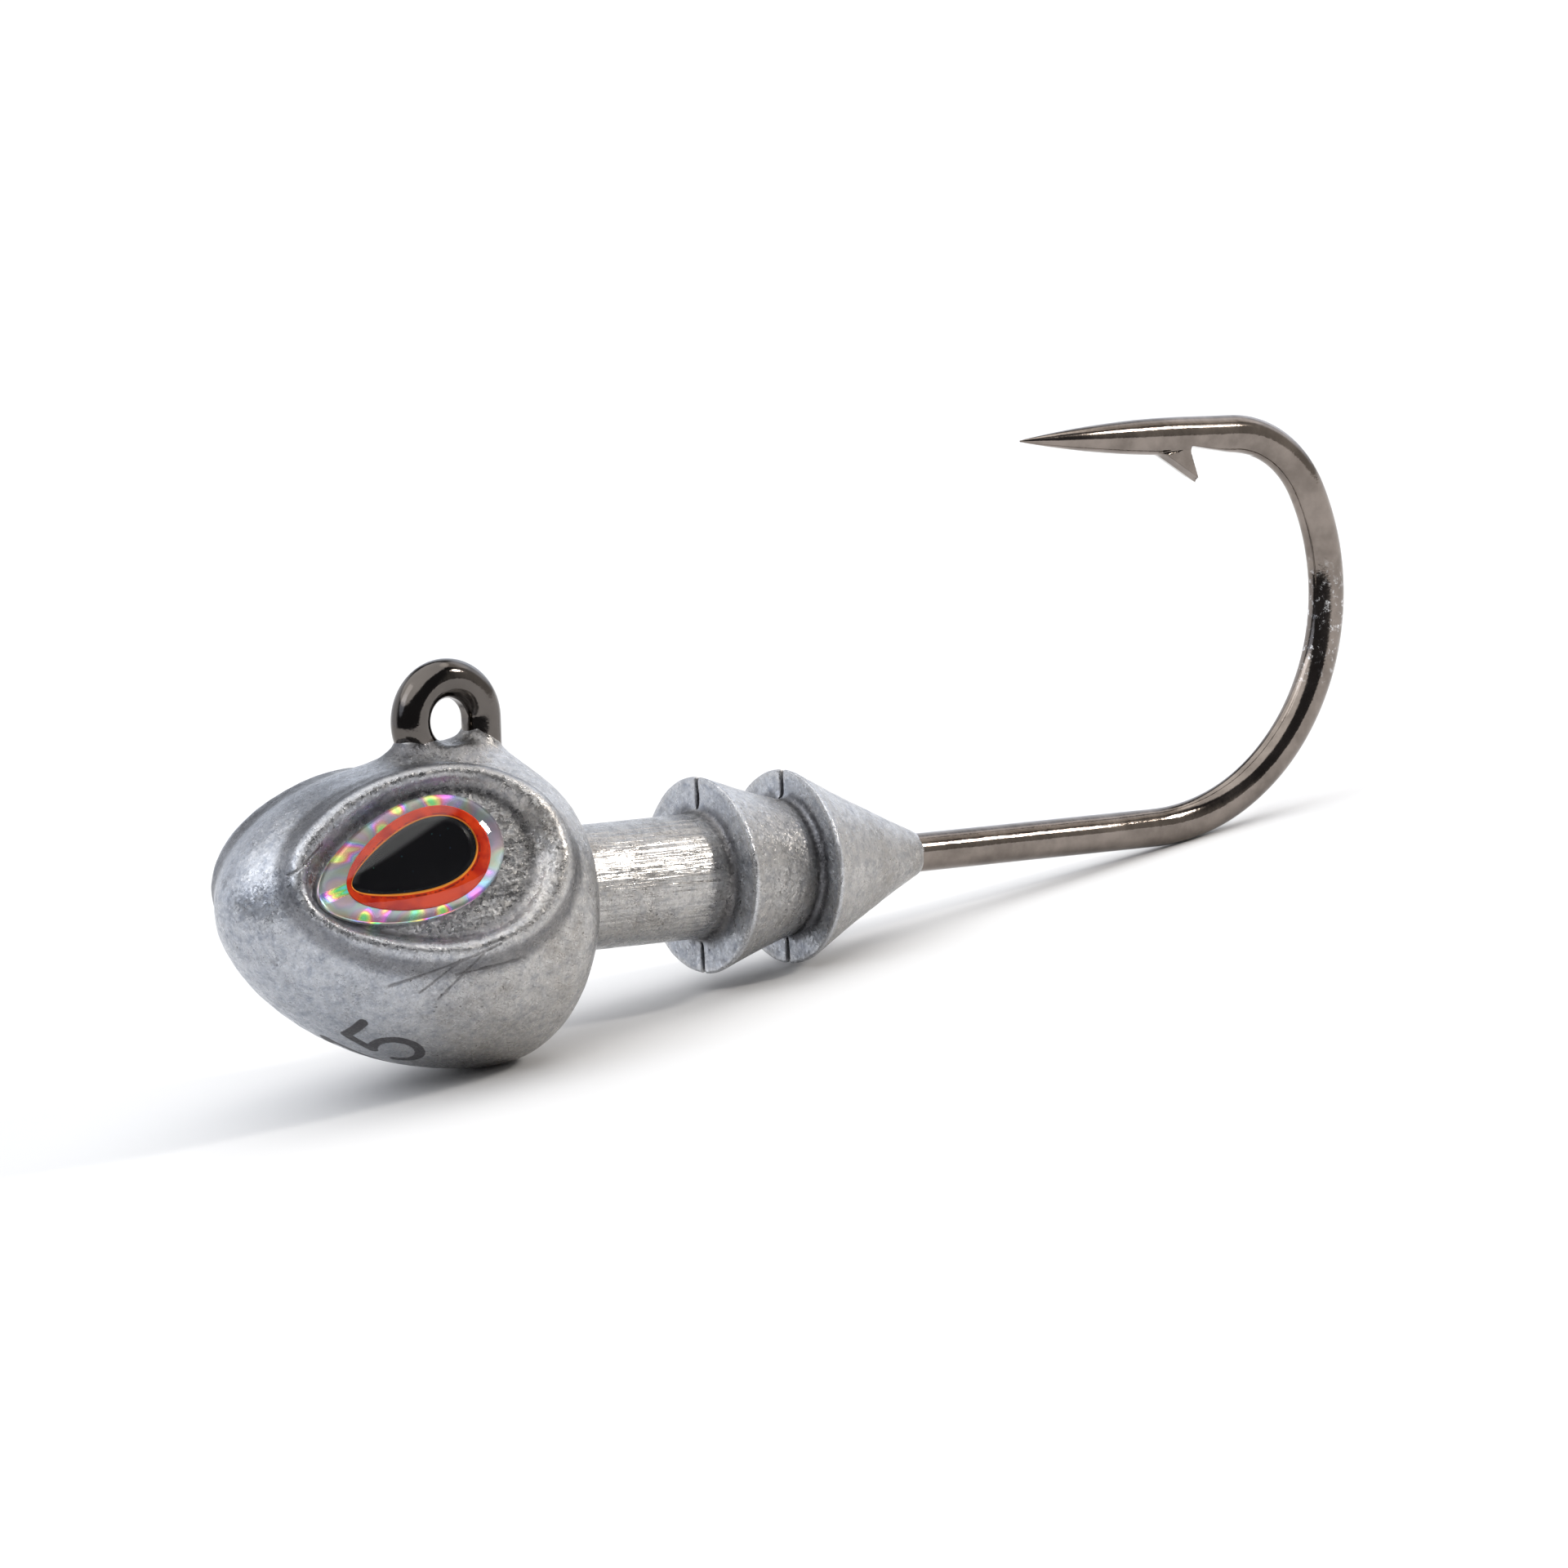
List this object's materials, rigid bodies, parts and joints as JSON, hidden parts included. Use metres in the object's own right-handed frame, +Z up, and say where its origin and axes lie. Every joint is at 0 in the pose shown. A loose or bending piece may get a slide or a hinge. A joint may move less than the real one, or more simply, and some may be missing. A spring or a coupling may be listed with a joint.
{
  "type": "jig head",
  "caption": "Lead-headed fishing jig: an egg-shaped head with two domed eyes, a line eye on top, a barbed bait keeper and a single barbed hook.",
  "frame": {"origin": "the centre of the line eye, in the plane of the hook", "axes": "+Z up with the jig resting on a small flat under its belly and on the heel of its bend; +X from the nose towards the bend, so the shank runs 9.45 degrees down from +X; +Y to the jig's right, square to the plane of the hook"},
  "size_m": [0.0534, 0.0128, 0.0172],
  "materials": {
    "hook_wire": "polished black-nickel plate on round carbon-steel wire",
    "cast_lead": "bare cast lead, dull grey with a fine sparkling grain, bright where rubbed",
    "eye_adhesive": "thin milky glue film",
    "eye_foil": "silver holographic foil with rainbow glints",
    "iris_ink": "translucent red-orange print",
    "pupil_ink": "gloss black print",
    "eye_dome": "clear cast resin, fully polished"
  },
  "bodies": {
    "root": {"hook": "hook_wire", "head_casting": "cast_lead", "eye_adhesive_left": "eye_adhesive", "eye_foil_left": "eye_foil", "eye_iris_left": "iris_ink", "eye_pupil_left": "pupil_ink", "eye_dome_left": "eye_dome", "eye_adhesive_right": "eye_adhesive", "eye_foil_right": "eye_foil", "eye_iris_right": "iris_ink", "eye_pupil_right": "pupil_ink", "eye_dome_right": "eye_dome"}
  },
  "joints": []
}
